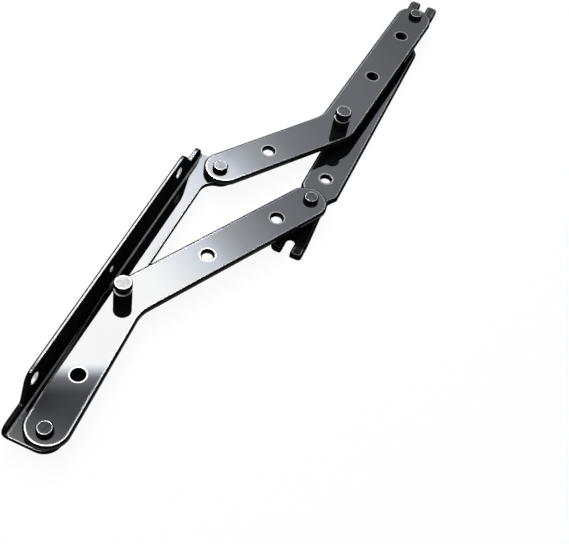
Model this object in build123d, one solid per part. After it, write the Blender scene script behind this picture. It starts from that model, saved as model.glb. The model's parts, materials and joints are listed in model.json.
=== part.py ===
from build123d import *
from math import atan2, cos, degrees, hypot, radians, sin, tan
import os

# Four-pivot folding hinge for a sofa bed, lying flat: two cranked links join a flanged base bracket
# to a flat folding bracket, so that the folding bracket stays parallel to the base as it swings.
# +Z points up, along the pivots. +Y runs along both brackets and +X from the base to the folding one.
# The origin is the lower screw hole of the base's flange, at the flange's outer (mounting) face.
# All lengths are in millimetres and all angles in degrees.

# cranked links, one stamping used twice, the second one turned over
link_width = 25.0
link_thick = 3.0
link_short_arm = 88.5
link_long_arm = 135.8
link_bend = 30.4
link_inner_bend_radius = 18.0
link_outer_bend_radius = 20.0
link_end_setback = 3.0
link_edge_bevel = 0.8
link_hole_radius = 3.4
link_hole_chamfer = 0.9
short_arm_hole_from_pivot = 35.5
long_arm_first_hole_from_bend = 57.5
long_arm_second_hole_from_bend = 109.0

# how the pivots stand when the hinge lies as photographed
base_pivot_spacing = 204.0
rest_angle = 74.24

# base bracket, bent up from one sheet
base_sheet = 2.5
base_bend_inner_radius = 1.6
base_strip_width = 15.0
base_pad_width = 24.0
base_pad_reach = 56.0
base_pad_round = 4.0
base_lower_boss_radius = 9.9
base_upper_boss_radius = 9.4
base_boss_fillet = 9.0
base_lower_overhang = 9.9
base_upper_overhang = 8.5
flange_height = 19.0
flange_top_round = 7.0
flange_foot_round = 2.5
flange_end_round = 5.8
flange_lower_step_slope = 67.0
flange_upper_step_slope = 58.0
flange_low_rim = 3.0
flange_low_rim_reach = 8.5
flange_high_rim = 7.0
flange_high_rim_reach = 7.0
flange_to_link_gap = 0.3
flange_hole_height = 12.0
flange_hole_radius = 3.5
flange_pilot_radius = 2.0
lower_hole_from_pivot = 19.5
upper_hole_from_pivot = 23.0
pilot_hole_from_lower_hole = 79.0

# folding bracket, flat, with an open screw slot in each end
folding_sheet = 3.5
folding_width = 24.6
folding_neck_width = 17.0
folding_fork_width = 20.2
folding_shoulder_round = 3.5
folding_neck_fillet = 5.0
folding_edge_bevel = 0.8
folding_lower_shoulder = 19.0
folding_upper_shoulder = 26.5
folding_flare_length = 6.0
fork_lower_reach = 37.0
fork_upper_reach = 30.8
fork_slot_width = 5.5
fork_slot_depth = 12.4
fork_corner_round = 1.5
fork_outer_corner_round = 2.4
fork_cut_corner_round = 4.2
folding_hole_from_pivot = 30.3
folding_hole_radius = 3.4
folding_hole_chamfer = 0.4

# pivot rivets with what is stacked on them
rivet_shank_radius = 3.0
rivet_head_radius = 4.6
rivet_head_height = 2.9
rivet_head_bevel = 0.7
rivet_tail_radius = 4.6
rivet_tail_height = 1.5
rivet_tail_taper = 0.6
flush_tail_depth = 1.5
washer_radius = 8.0
washer_thick = 0.9
spacer_radius = 6.5
spacer_length = 6.9

# spring posts riveted flush into the links
post_radius = 5.25
post_body_height = 7.4
post_groove_height = 2.8
post_groove_depth = 1.1
post_head_height = 3.2
post_head_bevel = 0.6
post_shank_radius = 3.2
post_from_bend = 0.8
post_off_centre = 1.8

# named clearances, and the most of a step that one of its two fillets may take
running_clearance = 0.08
open_pivot_clearance = 0.25
seat_clearance = 0.02
sleeve_clearance = 0.1
axial_play = 0.1
past_the_face = 1.0
fillet_share_of_step = 0.45


# where things stand, worked out from the sizes above
half_width = link_width / 2
reach_along = link_short_arm + link_long_arm * cos(radians(link_bend))
reach_aside = link_long_arm * sin(radians(link_bend))
link_reach = hypot(reach_along, reach_aside)
crank_angle = degrees(atan2(reach_aside, reach_along))
short_arm_lean = rest_angle + crank_angle - 90
lean_aside = link_short_arm * sin(radians(short_arm_lean))

base_pivot_inset = base_sheet + flange_to_link_gap + half_width + lean_aside
lower_base_pivot = Vector(base_pivot_inset, -lower_hole_from_pivot)
upper_base_pivot = lower_base_pivot + Vector(0, base_pivot_spacing)
swing = Vector(link_reach, 0).rotate(Axis.Z, rest_angle)
lower_folding_pivot = lower_base_pivot + swing
upper_folding_pivot = upper_base_pivot + swing

base_top = -flange_hole_height
base_bottom = base_top - base_sheet
link_bottom = base_top + washer_thick + axial_play
link_top = link_bottom + link_thick
folding_top = link_bottom - axial_play - spacer_length
folding_bottom = folding_top - folding_sheet
flange_top = base_top + flange_height
base_lower_end = lower_base_pivot.Y - base_lower_overhang
base_upper_end = upper_base_pivot.Y + base_upper_overhang


def near(vertices, point):
    """the one of the vertices that lies nearest to a point"""
    return vertices.sort_by_distance(point)[0]


def cranked_link(post_at):
    """A stamped link lying on Z = 0 with its base pivot at the origin and its short arm along +Y.

    The long arm turns off to the right. Both ends are full half circles that are centred a little
    inboard of their pivots. The outer edge is bevelled on the upper side.
    """
    bend = Vector(0, link_short_arm)
    along = Vector(0, 1).rotate(Axis.Z, -link_bend)
    far_pivot = bend + along * link_long_arm
    near_end = Vector(0, link_end_setback)
    far_end = far_pivot - along * link_end_setback
    right = Vector(half_width, 0)
    far_right = right.rotate(Axis.Z, -link_bend)
    mitre = right.rotate(Axis.Z, -link_bend / 2) * (1 / cos(radians(link_bend / 2)))
    holes = (
        Vector(0, short_arm_hole_from_pivot),
        bend + along * long_arm_first_hole_from_bend,
        bend + along * long_arm_second_hole_from_bend,
    )
    with BuildPart() as link:
        with BuildSketch():
            with BuildLine():
                Polyline(
                    near_end + right,
                    bend + mitre,
                    far_end + far_right,
                    far_end - far_right,
                    bend - mitre,
                    near_end - right,
                    close=True,
                )
            make_face()
            fillet(near(vertices(), bend + mitre), link_inner_bend_radius)
            fillet(near(vertices(), bend - mitre), link_outer_bend_radius)
            with Locations(near_end, far_end):
                Circle(half_width)
        extrude(amount=link_thick)
        upper_face = faces().sort_by(Axis.Z)[-1]
        chamfer(upper_face.outer_wire().edges(), link_edge_bevel)
        with Locations(*[hole + Vector(0, 0, link_thick) for hole in holes]):
            CounterSinkHole(link_hole_radius, link_hole_radius + link_hole_chamfer)
        with Locations(Vector(post_at.X, post_at.Y, link_thick)):
            Hole(post_shank_radius + seat_clearance)
    return link.part


def with_pivot_holes(link, far_pivot, far_clearance):
    """the link with a running hole at its base pivot and a second hole at its other end"""
    bore_depth = link_thick + 2 * past_the_face
    for centre, clearance in ((Vector(0, 0), running_clearance), (far_pivot, far_clearance)):
        bore = Cylinder(rivet_shank_radius + clearance, bore_depth)
        link -= bore.moved(Location((centre.X, centre.Y, link_thick / 2)))
    return link


def turned_profile(points):
    """a solid turned about the Z axis from its right-hand outline, given as (radius, height) pairs"""
    with BuildPart() as turned:
        with BuildSketch(Plane.XZ):
            with BuildLine():
                Polyline(*points, close=True)
            make_face()
        revolve(axis=Axis.Z)
    return turned.part


def peened_tail(bottom):
    """a rivet's end that is spread out over a sheet whose underside is at this height"""
    tail_bottom = bottom - rivet_tail_height
    return (
        (rivet_shank_radius, bottom),
        (rivet_tail_radius, bottom),
        (rivet_tail_radius - rivet_tail_taper, tail_bottom),
        (0, tail_bottom),
    )


def flush_tail(bottom):
    """a rivet's end that is spread into a countersink, so that the sheet's underside stays flat"""
    return (
        (rivet_shank_radius, bottom + flush_tail_depth),
        (rivet_shank_radius + flush_tail_depth, bottom),
        (0, bottom),
    )


def pivot_rivet(tail):
    """a rivet on Z: bevelled head over the link, shank down through the stack, then the given tail"""
    head_seat = link_top + axial_play
    head_top = link_top + rivet_head_height
    return turned_profile((
        (0, head_top),
        (rivet_head_radius - rivet_head_bevel, head_top),
        (rivet_head_radius, head_top - rivet_head_bevel),
        (rivet_head_radius, head_seat),
        (rivet_shank_radius, head_seat),
        *tail,
    ))


def ring(outer_radius, thickness, bottom):
    """a washer or spacer that slips over a rivet's shank"""
    bore = rivet_shank_radius + sleeve_clearance
    return turned_profile((
        (bore, bottom),
        (outer_radius, bottom),
        (outer_radius, bottom + thickness),
        (bore, bottom + thickness),
    ))


def spring_post():
    """a grooved post on Z, with a bevelled head and a shank that ends flush below the link"""
    body_top = link_top + post_body_height
    groove_top = body_top + post_groove_height
    post_top = groove_top + post_head_height
    neck_radius = post_radius - post_groove_depth
    return turned_profile((
        (0, post_top),
        (post_radius - post_head_bevel, post_top),
        (post_radius, post_top - post_head_bevel),
        (post_radius, groove_top),
        (neck_radius, groove_top),
        (neck_radius, body_top),
        (post_radius, body_top),
        (post_radius, link_top),
        (post_shank_radius, link_top),
        (post_shank_radius, link_bottom),
        (0, link_bottom),
    ))


def flange_side_view():
    """The flange seen from the side, as a flat face with Y across and Z up that reaches below the sheet.

    A low rim at each end rises by a steep rounded step to the tall middle of the flange.
    """
    low = base_top + flange_low_rim
    high = base_top + flange_high_rim
    floor = base_bottom - past_the_face
    lower_foot = lower_base_pivot.Y + flange_low_rim_reach
    upper_foot = upper_base_pivot.Y - flange_high_rim_reach
    lower_shoulder = lower_foot + (flange_top - low) / tan(radians(flange_lower_step_slope))
    upper_shoulder = upper_foot - (flange_top - high) / tan(radians(flange_upper_step_slope))
    with BuildSketch() as side:
        with BuildLine():
            Polyline(
                (base_lower_end, floor),
                (base_lower_end, low),
                (lower_foot, low),
                (lower_shoulder, flange_top),
                (upper_shoulder, flange_top),
                (upper_foot, high),
                (base_upper_end, high),
                (base_upper_end, floor),
                close=True,
            )
        make_face()
        for along, height, radius in (
            (base_lower_end, low, flange_end_round),
            (lower_foot, low, flange_foot_round),
            (lower_shoulder, flange_top, flange_top_round),
            (upper_shoulder, flange_top, flange_top_round),
            (upper_foot, high, flange_foot_round),
            (base_upper_end, high, flange_end_round),
        ):
            fillet(near(vertices(), Vector(along, height)), radius)
    return side.sketch


def base_plan():
    """The base bracket seen from above: a narrow strip with a rounded boss under each link.

    A wider pad joins the strip to the lower boss and carries on under the lower link's short arm.
    """
    pad_end = lower_base_pivot.Y + base_pad_reach
    with BuildSketch() as plan:
        length = base_upper_end - base_lower_end
        with Locations((0, base_lower_end)):
            Rectangle(base_strip_width, length, align=Align.MIN)
        with Locations((0, lower_base_pivot.Y)):
            Rectangle(base_pad_width, base_pad_reach, align=Align.MIN)
        for pivot, boss_radius, end in (
            (lower_base_pivot, base_lower_boss_radius, base_lower_end),
            (upper_base_pivot, base_upper_boss_radius, base_upper_end),
        ):
            with Locations((pivot.X, pivot.Y)):
                Circle(boss_radius)
            with Locations((pivot.X / 2, (pivot.Y + end) / 2)):
                Rectangle(pivot.X, abs(end - pivot.Y))
        overshoot = max(base_lower_boss_radius, base_upper_boss_radius)
        keep_centre = (base_upper_end + base_lower_end) / 2
        with Locations((overshoot, keep_centre)):
            Rectangle(4 * (base_pivot_inset + overshoot), length, mode=Mode.INTERSECT)
        for pivot, boss_radius, width, way in (
            (lower_base_pivot, base_lower_boss_radius, base_pad_width, 1),
            (upper_base_pivot, base_upper_boss_radius, base_strip_width, -1),
        ):
            aside = pivot.X - width
            notch = Vector(width, pivot.Y + way * (boss_radius**2 - aside**2) ** 0.5)
            fillet(near(vertices(), notch), base_boss_fillet)
        pad_round = min(base_pad_round, fillet_share_of_step * (base_pad_width - base_strip_width))
        for width in (base_pad_width, base_strip_width):
            fillet(near(vertices(), Vector(width, pad_end)), pad_round)
    return plan.sketch


def base_bracket():
    """an L section along Y, trimmed to its plan and to the flange's side view, with its holes"""
    section_width = base_pivot_inset + max(base_lower_boss_radius, base_upper_boss_radius)
    bend_edge = base_sheet + base_bend_inner_radius
    with BuildPart() as base:
        with BuildSketch(Plane.XZ.offset(-base_upper_end)):
            with BuildLine():
                Polyline(
                    (0, base_bottom),
                    (section_width, base_bottom),
                    (section_width, base_top),
                    (base_sheet, base_top),
                    (base_sheet, flange_top),
                    (0, flange_top),
                    close=True,
                )
            make_face()
            fillet(near(vertices(), Vector(base_sheet, base_top)), base_bend_inner_radius)
            fillet(near(vertices(), Vector(0, base_bottom)), bend_edge)
        extrude(amount=base_upper_end - base_lower_end)
        with BuildSketch(Plane.XY.offset(base_bottom)):
            add(base_plan())
        extrude(amount=flange_top - base_bottom, mode=Mode.INTERSECT)
        height = flange_top - base_bottom + 2 * past_the_face
        length = base_upper_end - base_lower_end + 2 * past_the_face
        with BuildSketch(Plane.YZ.offset(-past_the_face)):
            with Locations((base_lower_end - past_the_face, base_bottom - past_the_face)):
                Rectangle(length, height, align=Align.MIN)
            add(flange_side_view(), mode=Mode.SUBTRACT)
        extrude(amount=bend_edge + past_the_face, mode=Mode.SUBTRACT)
        hole_line = (
            (0, flange_hole_radius),
            (pilot_hole_from_lower_hole, flange_pilot_radius),
            (upper_base_pivot.Y - upper_hole_from_pivot, flange_hole_radius),
        )
        for along, radius in hole_line:
            with Locations(Location((0, along, 0), (0, 90, 0))):
                Cylinder(radius, 4 * base_sheet, mode=Mode.SUBTRACT)
        with Locations(*[(pivot.X, pivot.Y, base_bottom) for pivot in (lower_base_pivot, upper_base_pivot)]):
            Cylinder(rivet_shank_radius + seat_clearance, 4 * base_sheet, mode=Mode.SUBTRACT)
    return base.part


def folding_bracket():
    """The flat bracket along the line of its pivots, with a slotted fork at each end.

    Its two sides are alike, but for the lower fork's outer corner on the base's side, which is cut round.
    """
    centre = lower_folding_pivot.X
    low_pivot = lower_folding_pivot.Y
    high_pivot = upper_folding_pivot.Y
    low_tip = low_pivot - fork_lower_reach
    high_tip = high_pivot + fork_upper_reach
    low_root = low_tip + fork_slot_depth
    high_root = high_tip - fork_slot_depth
    wide_from = low_pivot + folding_lower_shoulder
    wide_to = high_pivot - folding_upper_shoulder
    wide = folding_width / 2
    neck = folding_neck_width / 2
    fork = folding_fork_width / 2
    right_side = (
        (fork, low_tip),
        (fork, low_root),
        (neck, low_pivot),
        (neck, wide_from - folding_flare_length),
        (wide, wide_from),
        (wide, wide_to),
        (neck, wide_to + folding_flare_length),
        (neck, high_pivot),
        (fork, high_root),
        (fork, high_tip),
    )
    left_side = [(-aside, along) for aside, along in reversed(right_side)]
    slot_radius = fork_slot_width / 2
    with BuildPart() as bracket:
        with BuildSketch():
            with BuildLine():
                Polyline(*right_side, *left_side, close=True)
            make_face()
            for root, tip in ((low_root, low_tip), (high_root, high_tip)):
                way = 1 if tip > root else -1
                with Locations((0, root + way * slot_radius)):
                    Circle(slot_radius, mode=Mode.SUBTRACT)
                with Locations((0, (root + way * slot_radius + tip) / 2)):
                    Rectangle(fork_slot_width, abs(tip - root) - slot_radius, mode=Mode.SUBTRACT)
            for side in (-1, 1):
                low_corner_round = fork_outer_corner_round if side > 0 else fork_cut_corner_round
                for aside, along, radius in (
                    (fork, low_tip, low_corner_round),
                    (slot_radius, low_tip, fork_corner_round),
                    (slot_radius, high_tip, fork_corner_round),
                    (fork, high_tip, fork_outer_corner_round),
                    (neck, wide_from - folding_flare_length, folding_neck_fillet),
                    (neck, wide_to + folding_flare_length, folding_neck_fillet),
                    (wide, wide_from, folding_shoulder_round),
                    (wide, wide_to, folding_shoulder_round),
                    (fork, low_root, folding_neck_fillet),
                    (fork, high_root, folding_neck_fillet),
                ):
                    fillet(near(vertices(), Vector(side * aside, along)), radius)
        extrude(amount=folding_sheet)
        upper_face = faces().sort_by(Axis.Z)[-1]
        chamfer(upper_face.outer_wire().edges(), folding_edge_bevel)
        with Locations((0, low_pivot + folding_hole_from_pivot, folding_sheet)):
            CounterSinkHole(folding_hole_radius, folding_hole_radius + folding_hole_chamfer)
        rivet_hole = rivet_shank_radius + seat_clearance
        for pivot in (low_pivot, high_pivot):
            with Locations(Location((0, pivot, 0), (180, 0, 0))):
                CounterSinkHole(rivet_hole, rivet_hole + flush_tail_depth)
    return bracket.part.moved(Location((centre, 0, folding_bottom)))


def export(node, shape):
    shape.label = node
    export_step(shape, f"parts/{node}.step")


os.makedirs("parts", exist_ok=True)

along_long_arm = Vector(0, 1).rotate(Axis.Z, -link_bend)
off_long_arm = along_long_arm.rotate(Axis.Z, 90)
post_place = Vector(0, link_short_arm) + along_long_arm * post_from_bend + off_long_arm * post_off_centre
far_place = Vector(0, link_short_arm) + along_long_arm * link_long_arm
plain_link = cranked_link(post_place)
lower_link = with_pivot_holes(plain_link, far_place, running_clearance)
upper_blank = with_pivot_holes(plain_link, far_place, open_pivot_clearance)
upper_link = mirror(upper_blank, about=Plane.YZ)
lower_turn = rest_angle + crank_angle - 90
upper_turn = rest_angle - crank_angle - 90

for name, link, pivot, turn, post_side in (
    ("lower_link", lower_link, lower_base_pivot, lower_turn, 1),
    ("upper_link", upper_link, upper_base_pivot, upper_turn, -1),
):
    place = Location((pivot.X, pivot.Y, link_bottom), (0, 0, turn))
    export(name, link.moved(place))
    foot = pivot + Vector(post_side * post_place.X, post_place.Y).rotate(Axis.Z, turn)
    export(name.replace("link", "spring_post"), spring_post().moved(Location((foot.X, foot.Y, 0))))

export("base_bracket", base_bracket())
export("folding_bracket", folding_bracket())

for name, pivot, tail in (
    ("lower_base_rivet", lower_base_pivot, peened_tail(base_bottom)),
    ("upper_base_rivet", upper_base_pivot, peened_tail(base_bottom)),
    ("lower_folding_rivet", lower_folding_pivot, flush_tail(folding_bottom)),
    ("upper_folding_rivet", upper_folding_pivot, flush_tail(folding_bottom)),
):
    export(name, pivot_rivet(tail).moved(Location((pivot.X, pivot.Y, 0))))

for name, pivot, radius, length, bottom in (
    ("lower_base_washer", lower_base_pivot, washer_radius, washer_thick, base_top),
    ("upper_base_washer", upper_base_pivot, washer_radius, washer_thick, base_top),
    ("lower_folding_spacer", lower_folding_pivot, spacer_radius, spacer_length, folding_top),
    ("upper_folding_spacer", upper_folding_pivot, spacer_radius, spacer_length, folding_top),
):
    export(name, ring(radius, length, bottom).moved(Location((pivot.X, pivot.Y, 0))))
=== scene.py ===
import json
from functools import reduce
from math import radians

import bpy
import numpy as np
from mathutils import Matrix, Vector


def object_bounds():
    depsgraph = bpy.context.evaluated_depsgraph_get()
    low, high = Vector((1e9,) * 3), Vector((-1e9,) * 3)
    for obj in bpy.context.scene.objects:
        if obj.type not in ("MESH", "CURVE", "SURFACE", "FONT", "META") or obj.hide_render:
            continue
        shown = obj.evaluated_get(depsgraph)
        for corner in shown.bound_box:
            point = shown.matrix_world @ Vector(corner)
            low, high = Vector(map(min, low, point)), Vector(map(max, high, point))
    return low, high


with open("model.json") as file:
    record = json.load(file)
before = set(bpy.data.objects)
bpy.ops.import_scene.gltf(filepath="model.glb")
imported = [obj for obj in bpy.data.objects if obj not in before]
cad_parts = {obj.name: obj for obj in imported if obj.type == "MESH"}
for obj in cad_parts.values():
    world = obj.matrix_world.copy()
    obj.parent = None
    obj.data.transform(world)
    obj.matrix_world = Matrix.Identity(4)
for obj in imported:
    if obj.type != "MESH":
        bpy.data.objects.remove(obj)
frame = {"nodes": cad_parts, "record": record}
cad_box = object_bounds()

# places on the hinge, in metres, from the frame's record and its pieces
RECORD = frame["record"]
MOUNTS = {mount["name"]: mount["pos_m"] for mount in RECORD["mounts"]}
SLOTS = {entry["node"]: entry["material_slot"] for entry in RECORD["subparts"]}
BASE_PIVOT = next(joint["pos_m"] for joint in RECORD["behaviour"]["joints"] if joint["name"] == "fold")
LINK_HOLES = [place for name, place in MOUNTS.items() if "_link_" in name]
BRACKET_HOLES = [MOUNTS["mattress_frame_screw"]]
FLANGE_HOLES = [MOUNTS[name] for name in ("frame_screw_low", "frame_pilot_hole", "frame_screw_high")]
LINK_TOP = max(corner[2] for corner in frame["nodes"]["lower_link"].bound_box)
BASE_TOP = min(corner[2] for corner in frame["nodes"]["lower_base_washer"].bound_box)
FLOOR = cad_box[0][2]

# the camera of the photograph, worked out from the hinge's own pivots and outlines
CAMERA_PLACE = (0.16696, -0.22911, 0.45773)
CAMERA_TURN = (37.6037, -8.0730, 23.0438)
CAMERA_LENS = 65.563


class Num:
    """A number in a material: arithmetic on it adds Math nodes to the same tree."""

    def __init__(self, finish, socket):
        self.finish = finish
        self.socket = socket

    def _math(self, operation, *values):
        made = self.finish.node("ShaderNodeMath", {"operation": operation}, *values)
        return Num(self.finish, made.outputs[0])

    def __add__(self, other):
        return self._math("ADD", self, other)

    def __radd__(self, other):
        return self._math("ADD", other, self)

    def __sub__(self, other):
        return self._math("SUBTRACT", self, other)

    def __rsub__(self, other):
        return self._math("SUBTRACT", other, self)

    def __mul__(self, other):
        return self._math("MULTIPLY", self, other)

    def __rmul__(self, other):
        return self._math("MULTIPLY", other, self)

    def __abs__(self):
        return self._math("ABSOLUTE", self)

    def least(self, other):
        return self._math("MINIMUM", self, other)

    def most(self, other):
        return self._math("MAXIMUM", self, other)

    def step(self, low, high, below=0.0, above=1.0, rise="SMOOTHSTEP"):
        """below up to low, above from high on, and a smooth or LINEAR rise between them"""
        made = self.finish.node("ShaderNodeMapRange", {"interpolation_type": rise},
                                self, low, high, below, above)
        return Num(self.finish, made.outputs[0])

    def between(self, rise, fall):
        """1 from the end of the rise to the start of the fall, and 0 outside them"""
        return self.step(*rise) * (1 - self.step(*fall))


class Finish:
    """A node tree that is built up call by call."""

    def __init__(self, tree):
        self.tree = tree
        tree.nodes.clear()

    def fill(self, socket, value):
        """links a socket to a value's node or sets its constant, and leaves it as it is for None"""
        if isinstance(value, Num):
            value = value.socket
        if isinstance(value, bpy.types.NodeSocket):
            self.tree.links.new(value, socket)
        elif value is not None:
            socket.default_value = value

    def node(self, kind, settings=None, *values, **named):
        """one node: its settings first, then the values or links of its sockets, by order or by name"""
        made = self.tree.nodes.new(kind)
        for name, value in (settings or {}).items():
            setattr(made, name, value)
        for socket, value in zip(made.inputs, values):
            self.fill(socket, value)
        for name, value in named.items():
            self.fill(made.inputs[name.replace("_", " ")], value)
        return made

    def num(self, node, output=0):
        return Num(self, node.outputs[output])

    def parts(self, vector):
        """the three numbers of a vector"""
        split = self.node("ShaderNodeSeparateXYZ", None, vector)
        return [self.num(split, n) for n in range(3)]

    def place(self):
        """Object coordinates, and their three numbers"""
        where = self.node("ShaderNodeTexCoord").outputs["Object"]
        return where, self.parts(where)

    def vector_maths(self, operation, first, second):
        return self.node("ShaderNodeVectorMath", {"operation": operation}, first, second)

    def dot(self, first, second):
        return self.num(self.vector_maths("DOT_PRODUCT", first, second), "Value")

    def distance(self, first, second):
        return self.num(self.vector_maths("DISTANCE", first, second), "Value")

    def nearest(self, where, plane, centres):
        """the distance to the nearest centre, in the plane whose two directions are marked with a 1"""
        flat_where = self.vector_maths("MULTIPLY", where, plane).outputs[0]
        flat_centres = [tuple(np.multiply(centre, plane)) for centre in centres]
        return reduce(Num.least, [self.distance(flat_where, centre) for centre in flat_centres])

    def noise(self, where, scale, detail=2.0, roughness=0.5, stretch=None):
        if stretch:
            where = self.node("ShaderNodeMapping", None, Vector=where, Scale=stretch).outputs[0]
        made = self.node("ShaderNodeTexNoise", None, Vector=where, Scale=scale, Detail=detail,
                         Roughness=roughness)
        return self.num(made)

    def blend(self, share, first, second, kind="Color"):
        """a colour, or with kind Vector a vector, between two others"""
        made = self.node("ShaderNodeMix", {"data_type": "RGBA" if kind == "Color" else "VECTOR"})
        values = {"Factor_Float": share, "A_" + kind: first, "B_" + kind: second}
        for socket in made.inputs:
            self.fill(socket, values.get(socket.identifier))
        return next(socket for socket in made.outputs if socket.identifier == "Result_" + kind)


def material(name):
    made = bpy.data.materials.new(name)
    made.use_nodes = True
    return made, Finish(made.node_tree)


def grey(level, tint=(1.0, 1.0, 1.0)):
    return (level * tint[0], level * tint[1], level * tint[2], 1.0)


BLACK_TINT = (1.0, 1.02, 1.08)
# the bare steel that the painted highlights are made of
HIGHLIGHT_STEEL = grey(0.9, (1.0, 0.99, 0.98))
# A pair is the start and the end of a smooth change: here, distances from a hole's centre,
# which bound the painted highlight ring round it and the calm face about it.
CHAMFER_END = (0.0042, 0.0043)
RING_END = (0.0048, 0.0052)
CALM_END = (0.0062, 0.0066)
EDGE_HIGHLIGHT_START = (0.0064, 0.0066)
# x of the edges whose painted highlights are fainter, and of the outermost ones, whose painted
# highlights are nearly as bright as before
QUIET_START = (0.033, 0.045)
OUTERMOST_START = (0.086, 0.088)


class Coat:
    """A glossy black coating on steel in the making, with painted highlights and painted shade at its
    edges.

    Near an edge the shading turns round it, as on a stamping whose corners are rolled over. Where it
    has turned a little, bright bare steel is laid in as a painted highlight. The corner beyond is made
    dull as painted shade, and so is a sheared wall. The highlight share, dull and matt are shares from
    0 to 1: of bright bare steel as painted highlight, of coating that has lost its gloss as painted
    shade, and of bare steel that is too rough to mirror anything.
    """

    def __init__(self, name, edge):
        self.made, self.f = material(name)
        self.where, (self.x, self.y, self.z) = self.f.place()
        self.flat = self.f.node("ShaderNodeNewGeometry").outputs["True Normal"]
        self.level = abs(self.f.parts(self.flat)[2]).step(0.93, 0.98)
        self.rounded = self.f.node("ShaderNodeBevel", {"samples": 16}, edge).outputs[0]
        self.matt = 0

    def calm_holes(self, holes):
        """keeps the face flat round the holes, and gives the distance to the nearest one's centre"""
        away = self.f.nearest(self.where, (1, 1, 0), holes)
        calm = away.between(CHAMFER_END, CALM_END)
        self.rounded = self.f.blend(calm, self.rounded, self.flat, "Vector")
        return away

    def turned(self):
        """how far the shading of a level face has turned, from 0 to 1"""
        return 1 - abs(self.f.parts(self.rounded)[2])

    def quiet(self, share):
        """the share of painted highlight that edges away from the base bracket lose, the outermost ones
        less
        """
        return share * self.x.step(*QUIET_START) * (1 - 0.8 * self.x.step(*OUTERMOST_START))

    def wear_edges(self, turned, highlight_end, highlight_share, quiet=0, highlight_start=0.002):
        """bright steel as painted highlight while the shading turns from start to end, painted dull
        shade beyond
        """
        beyond = turned.step(highlight_end - 0.01, highlight_end)
        shine = (turned - highlight_start).step(0.0, 0.003) * (1 - beyond)
        self.shine = highlight_share * (1 - quiet) * shine * self.level
        self.dull = beyond.most(1 - self.level)

    def fade(self, share):
        """painted shade: takes a share of the highlight away and leaves the coating that dull and dark
        """
        self.shine = self.shine * (1 - share)
        self.dull = self.dull.most(share)

    def rub_bare(self, share, brightness, matt):
        """bare steel of some brightness as a painted highlight, as far as the share says"""
        self.shine = self.shine.most(brightness * share)
        self.dull = self.dull * (1 - share)
        self.matt = matt.most(self.matt)

    def ring_holes(self, away, brightness, roughened):
        """a painted highlight ring of bare steel round each hole, on the level face only, so the
        chamfer stays dull
        """
        ring = self.level * (1 - away.step(*RING_END))
        self.shine = self.shine * away.step(*EDGE_HIGHLIGHT_START)
        self.rub_bare(ring, brightness, matt=ring * roughened)

    def finished(self, gloss, mottled=0.0):
        """the material, with clouds, specks and fine scratches"""
        f = self.f
        cloud = f.noise(self.where, scale=60.0, detail=3.0)
        speck = f.noise(self.where, scale=900.0)
        scratch = f.noise(self.where, scale=260.0, roughness=0.6, stretch=(9.0, 0.35, 1.0))
        patches = f.noise(self.where, scale=240.0).step(0.2, 0.45, below=0.8, above=1.0)
        swell = f.noise(self.where, scale=180.0, detail=1.0)
        dull = self.dull
        if mottled:
            dull = dull.most(mottled * speck.step(0.4, 0.6))
        # painted highlights: bright bare steel, broken into patches
        highlight_steel = self.shine * patches
        colour = f.blend(cloud.step(0.3, 0.7), grey(0.003, BLACK_TINT), grey(0.006, BLACK_TINT))
        colour = f.blend(highlight_steel, colour, HIGHLIGHT_STEEL)
        rough = gloss + 0.05 * cloud.step(0.35, 0.75) + 0.05 * scratch.step(0.62, 0.72)
        rough = rough + 0.1 * self.shine + 0.3 * dull + 0.5 * self.matt
        bump = f.node("ShaderNodeBump", None, Strength=0.12, Distance=0.0002,
                      Height=0.6 * swell + 0.05 * speck, Normal=self.rounded)
        shader = f.node("ShaderNodeBsdfPrincipled", None,
                        Base_Color=colour, Metallic=highlight_steel, Roughness=rough, Normal=bump.outputs[0],
                        Specular_IOR_Level=0.0, Coat_Weight=1 - dull, Coat_Roughness=0.03, Coat_IOR=1.5)
        f.node("ShaderNodeOutputMaterial", None, shader.outputs[0])
        return self.made


SHEET_GLOSS = 0.09
# the way that the links' outer edges face, in the links' own directions; painted shade darkens those
# edges
OUTER_SIDE = (-0.3, 0.95, 0)
# y up to which the painted highlight rings round the link holes are bright
BRIGHT_RINGS_END = (0.13, 0.15)


def link_coat():
    """the links: painted highlight rings, bright and plain, painted shade on outer edges, and a
    burnished band along the wall
    """
    coat = Coat("link_black", edge=0.0018)
    away = coat.calm_holes(LINK_HOLES)
    own = coat.f.node("ShaderNodeVectorTransform",
                      {"vector_type": "NORMAL", "convert_from": "WORLD", "convert_to": "OBJECT"},
                      coat.rounded).outputs[0]
    # painted shade: edges that face the far side go dull and dark sooner
    outer = coat.f.dot(own, OUTER_SIDE).step(0.05, 0.1)
    turned = coat.turned() * (1 + 2 * outer)
    coat.wear_edges(turned, highlight_end=0.029, highlight_share=0.9, quiet=coat.quiet(0.6).most(0.5 * outer))
    coat.dull = coat.dull * (1 - 0.35 * turned.step(0.8, 0.92))
    near = 1 - coat.y.step(*BRIGHT_RINGS_END)
    coat.ring_holes(away, brightness=0.2 + 0.7 * near, roughened=near)
    return coat.finished(SHEET_GLOSS)


# y of the painted shade (gloss taken away) along the folding bracket, from the tip of its lower fork on
LOWER_TIP_END = (0.157, 0.160)
LOWER_PATCH_END = (0.172, 0.184)
UPPER_PATCH_START = (0.400, 0.406)


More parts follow.
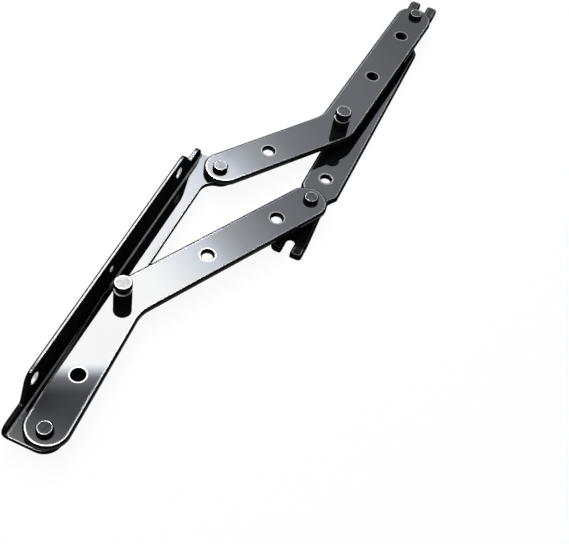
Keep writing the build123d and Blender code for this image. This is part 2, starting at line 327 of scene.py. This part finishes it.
def folding_coat():
    """the folding bracket, dulled as painted shade towards both ends, most just behind its lower tip"""
    coat = Coat("bracket_black", edge=0.0016)
    away = coat.calm_holes(BRACKET_HOLES)
    coat.wear_edges(coat.turned(), highlight_end=0.03, highlight_share=0.6, quiet=coat.quiet(0.6))
    coat.ring_holes(away, brightness=0.2, roughened=0)
    lower_shade = 0.95 * coat.y.between(LOWER_TIP_END, LOWER_PATCH_END)
    tip_shade = 0.5 * (1 - coat.y.step(*LOWER_TIP_END))
    upper_shade = 0.4 * coat.y.step(*UPPER_PATCH_START)
    coat.fade(lower_shade.most(tip_shade).most(upper_shade))
    return coat.finished(SHEET_GLOSS)


# z and x of the rounded top of the base bracket's flange and of the painted highlight line along its
# crest
FLANGE_TOP_START = (0.005, 0.006)
CREST_START = (0.0007, 0.0008)
CREST_END = (0.0016, 0.0018)
# y and x of the flange's lower end, darkened as painted shade
LOWER_END_STOP = (-0.013, -0.011)
FLANGE_STOP = (0.003, 0.0045)
# x and z of the painted highlight line inside the bend
BEND_X_START = (0.0029, 0.0030)
BEND_X_END = (0.0038, 0.0039)
BEND_Z_START = (-0.01205, -0.012)
BEND_Z_END = (-0.0104, -0.0102)
# distances from the centres of the flange's bores, whose walls get painted glints, and of the dull spot
# under the lower link's first hole
BORE_END = (0.0036, 0.0040)
DULL_SPOT_END = (0.007, 0.008)
DULL_SPOT = (*MOUNTS["lower_link_short_arm_hole"][:2], BASE_TOP)


def bent_coat():
    """the base bracket: painted highlights on the flange's crest, in its bores and as a pale line in
    the bend
    """
    coat = Coat("bent_black", edge=0.0013)
    top = coat.z.step(*FLANGE_TOP_START)
    turned = 1 - coat.f.dot(coat.rounded, coat.flat)
    coat.wear_edges(turned, highlight_end=0.06, highlight_share=0.6, highlight_start=0.004 * (1 - top))
    # painted shade on the flange's top, on both sides of its highlight line
    shade_beside_crest = top * (1 - coat.x.between(CREST_START, CREST_END))
    # painted shade over the flange's lower end
    lower_end_shade = (1 - coat.y.step(*LOWER_END_STOP)) * (1 - coat.x.step(*FLANGE_STOP))
    coat.shine = coat.shine * (1 - shade_beside_crest) * (1 - lower_end_shade)
    # a dull spot on the base plate round the first pivot, under the lower link's end
    dull_spot = 1 - coat.f.distance(coat.where, DULL_SPOT).step(*DULL_SPOT_END)
    coat.dull = coat.dull.most(shade_beside_crest).most(0.9 * lower_end_shade).most(dull_spot)
    # painted glints: pale bare steel on the walls of the flange's bores
    bore_glint = 1 - coat.f.nearest(coat.where, (0, 1, 1), FLANGE_HOLES).step(*BORE_END)
    bore_glint = bore_glint * (1 - abs(coat.f.parts(coat.flat)[0]).step(0.5, 0.6))
    coat.rub_bare(bore_glint, brightness=0.9, matt=bore_glint)
    # a pale painted highlight line along the inside of the bend
    bend = coat.x.between(BEND_X_START, BEND_X_END) * coat.z.between(BEND_Z_START, BEND_Z_END)
    coat.rub_bare(bend, brightness=0.4, matt=bend)
    return coat.finished(SHEET_GLOSS)


def turned_coat(name, edge, gloss, highlight_end, highlight_share, mottled=0.0):
    """a turned or pressed piece, with painted highlights round its edges and painted shade beyond them
    """
    coat = Coat(name, edge)
    coat.wear_edges(coat.turned(), highlight_end, highlight_share, coat.quiet(0.3))
    return coat.finished(gloss, mottled)


def post_coat():
    return turned_coat("post_black", edge=0.0011, gloss=0.24, highlight_end=0.2, highlight_share=0.7, mottled=0.4)


def rivet_coat():
    return turned_coat("rivet_black", edge=0.0008, gloss=0.24, highlight_end=0.25, highlight_share=0.7, mottled=0.4)


def washer_coat():
    return turned_coat("washer_black", edge=0.0003, gloss=0.2, highlight_end=0.1, highlight_share=0.3)


COATS = {
    "link_coating": link_coat(),
    "bracket_coating": folding_coat(),
    "post_coating": post_coat(),
    "rivet_coating": rivet_coat(),
    "washer_coating": washer_coat(),
}
BENT_COAT = bent_coat()
for node, piece in frame["nodes"].items():
    for holder in piece.material_slots:
        holder.material = BENT_COAT if node == "base_bracket" else COATS[SLOTS[node]]


def level_sheet(name, low, high, height):
    """A level rectangle as a function of two parameters that run from 0 to 1.

    x goes from the low corner's to the high corner's with the first parameter, y does so with the
    second, and z is the height.
    """
    u, v = np.meshgrid([0.0, 1.0], [0.0, 1.0], indexing="ij")
    points = np.stack([low[0] + u * (high[0] - low[0]), low[1] + v * (high[1] - low[1]),
                       np.full_like(u, height)], -1)
    mesh = bpy.data.meshes.new(name)
    mesh.from_pydata(points.reshape(-1, 3), [], [(0, 2, 3, 1)])
    mesh.update()
    piece = bpy.data.objects.new(name, mesh)
    bpy.context.scene.collection.objects.link(piece)
    return piece


TABLE_REACH = 4.0
TABLE_GAP = 0.0002


def table_top():
    """paper that looks white to the camera and in reflections, and that takes a faint shadow"""
    table = level_sheet("table_top", (-TABLE_REACH, -TABLE_REACH), (TABLE_REACH, TABLE_REACH),
                        FLOOR - TABLE_GAP)
    paper, f = material("white_paper")
    ray = f.node("ShaderNodeLightPath")
    direct = f.num(ray, "Is Camera Ray").most(f.num(ray, "Is Glossy Ray"))
    direct = direct.most(f.num(ray, "Is Transmission Ray"))
    matte = f.node("ShaderNodeBsdfDiffuse", None, grey(0.85))
    white = f.node("ShaderNodeEmission", None, grey(1.0), 1.0)
    shown = f.node("ShaderNodeMixShader", None, 0.93 * direct, matte.outputs[0], white.outputs[0])
    f.node("ShaderNodeOutputMaterial", None, shown.outputs[0])
    table.data.materials.append(paper)


def soft_room():
    """a world that is white round the horizon and dark overhead"""
    world = bpy.data.worlds.new("soft_room")
    world.use_nodes = True
    bpy.context.scene.world = world
    f = Finish(world.node_tree)
    upward = f.parts(f.node("ShaderNodeTexCoord").outputs["Generated"])[2]
    air = f.node("ShaderNodeBackground", None, grey(1.0), upward.step(0.3, 0.6, below=1.0, above=0.08))
    f.node("ShaderNodeOutputWorld", None, air.outputs[0])


COOL_WHITE = (0.91, 0.97, 1.05, 1.0)


def soft_box(name, low, high, height, strength, pattern):
    """a level lamp over the hinge that shines downwards only, cooler where its pattern is dim"""
    box = level_sheet(name, low, high, LINK_TOP + height)
    glow, f = material(name + "_light")
    x, y, _ = f.place()[1]
    back = f.num(f.node("ShaderNodeNewGeometry"), "Backfacing")
    light = pattern(x, y)
    tint = f.blend(light.step(0.6, 0.95), COOL_WHITE, grey(1.0))
    lamp = f.node("ShaderNodeEmission", None, tint, strength * light * back)
    clear = f.node("ShaderNodeBsdfTransparent")
    both = f.node("ShaderNodeAddShader", None, clear.outputs[0], lamp.outputs[0])
    f.node("ShaderNodeOutputMaterial", None, both.outputs[0])
    box.data.materials.append(glow)
    box.visible_camera = False
    box.visible_shadow = False


MAIN_HEIGHT = 1.0
FRONT_HEIGHT = 0.99
# the share of the way from the camera's foot to a spot of the main box at which a level face mirrors it
CAMERA_HEIGHT = CAMERA_PLACE[2] - LINK_TOP
MIRROR_SHARE = CAMERA_HEIGHT / (CAMERA_HEIGHT + MAIN_HEIGHT)
# the line through the holes of the lower link's long arm: one hole, and the way to the next
ARM_HOLE = np.array(MOUNTS["lower_link_long_arm_middle_hole"][:2])
ARM_WAY = np.array(MOUNTS["lower_link_long_arm_end_hole"][:2]) - ARM_HOLE
ARM_WAY = ARM_WAY / np.hypot(*ARM_WAY)
# the main box's brightness against the distance along its fade
TONES = ((0.0, 0.95), (0.112, 0.91), (0.133, 0.77), (0.157, 0.585), (0.165, 0.43), (0.180, 0.29),
         (0.210, 0.158), (0.240, 0.12), (0.320, 0.092), (0.350, 0.073), (0.390, 0.063))
# how far each step across moves the fade's lines back, and the near end's line on
FADE_SLANT = 0.62
NEAR_SLANT = 0.56
# how much later the upper link fades, from these distances to the left of the lower link's arm
UPPER_DELAY = 0.053
UPPER_START = (0.018, 0.033)
# the near end: a faint rise and then the full one
FAINT_RISE = (0.022, 0.036)
FULL_RISE = (0.033, 0.0445)
# along and across, where the base bracket's far half mirrors the box, which is a little dimmer there
STRIP_START = (0.11, 0.15)
STRIP_SIDE = (-0.002, 0.008)
# the dark gap: to the right of the arm's line, to the right of the pivot, and its soft edge
GAP_BESIDE = 0.0155
GAP_ACROSS = 0.0165
GAP_EDGE = (0.0, 0.004)
# the main box's soft sides
MAIN_LEFT = (-0.07, -0.05)
MAIN_RIGHT = (0.11, 0.14)
MAIN_FAR = (0.44, 0.5)


def main_pattern(x, y):
    """The main box's tones, laid out as their mirror image falls on the links' upper faces.

    across and along are the distances of a spot's mirror image from the lower pivot, and beside is
    its distance to the right of the line through the holes of the lower link's long arm.
    """
    mirror_x = MIRROR_SHARE * x + (1 - MIRROR_SHARE) * CAMERA_PLACE[0]
    mirror_y = MIRROR_SHARE * y + (1 - MIRROR_SHARE) * CAMERA_PLACE[1]
    across = mirror_x - BASE_PIVOT[0]
    along = mirror_y - BASE_PIVOT[1]
    beside = (mirror_x - ARM_HOLE[0]) * ARM_WAY[1] - (mirror_y - ARM_HOLE[1]) * ARM_WAY[0]
    fade = FADE_SLANT * across + along - UPPER_DELAY * (0 - beside).step(*UPPER_START)
    light = TONES[0][1]
    for (start, above), (end, below) in zip(TONES, TONES[1:]):
        light = light + fade.step(start, end, 0.0, below - above, rise="LINEAR")
    inward = along - NEAR_SLANT * across
    light = light * (0.12 * inward.step(*FAINT_RISE) + 0.88 * inward.step(*FULL_RISE))
    light = light * (1 - 0.15 * along.step(*STRIP_START) * (1 - across.step(*STRIP_SIDE)))
    gap = (beside - GAP_BESIDE).least(across - GAP_ACROSS).step(*GAP_EDGE)
    light = light * (1 - 0.92 * gap)
    return light * across.between(MAIN_LEFT, MAIN_RIGHT) * (1 - along.step(*MAIN_FAR))


# the front box's soft sides, in its own x and y
FRONT_LEFT = (-0.8, -0.6)
FRONT_RIGHT = (0.05, 0.15)
FRONT_NEAR = (-0.5, -0.35)
FRONT_FAR = (0.52, 0.6)
# where the lower link's first end mirrors it, which is dimmer, and the flange beside that, dimmest
DIM_START = (0.37, 0.47)
DIMMEST_START = (0.42, 0.47)
DIMMEST_SIDE = (-0.36, -0.27)


def front_pattern(x, y):
    """the second box: even, with soft sides, and dimmer at its far end"""
    light = x.between(FRONT_LEFT, FRONT_RIGHT) * y.between(FRONT_NEAR, FRONT_FAR)
    light = light * (1 - 0.67 * y.step(*DIM_START))
    return light * (1 - 0.75 * y.step(*DIMMEST_START) * (1 - x.step(*DIMMEST_SIDE)))


def photo_camera():
    camera = bpy.data.objects.new("camera", bpy.data.cameras.new("camera"))
    camera.data.lens = CAMERA_LENS
    camera.data.sensor_width = 36.0
    camera.data.sensor_fit = "HORIZONTAL"
    camera.data.clip_start = 0.01
    camera.data.clip_end = 50.0
    camera.location = CAMERA_PLACE
    camera.rotation_euler = [radians(turn) for turn in CAMERA_TURN]
    bpy.context.scene.collection.objects.link(camera)
    bpy.context.scene.camera = camera
    bpy.context.scene.view_settings.view_transform = "Standard"


table_top()
soft_room()
soft_box("main_box", (-1.6, -0.4), (0.6, 2.2), MAIN_HEIGHT, 23.0, main_pattern)
soft_box("front_box", (-0.85, -0.55), (0.2, 0.65), FRONT_HEIGHT, 3.6, front_pattern)
photo_camera()
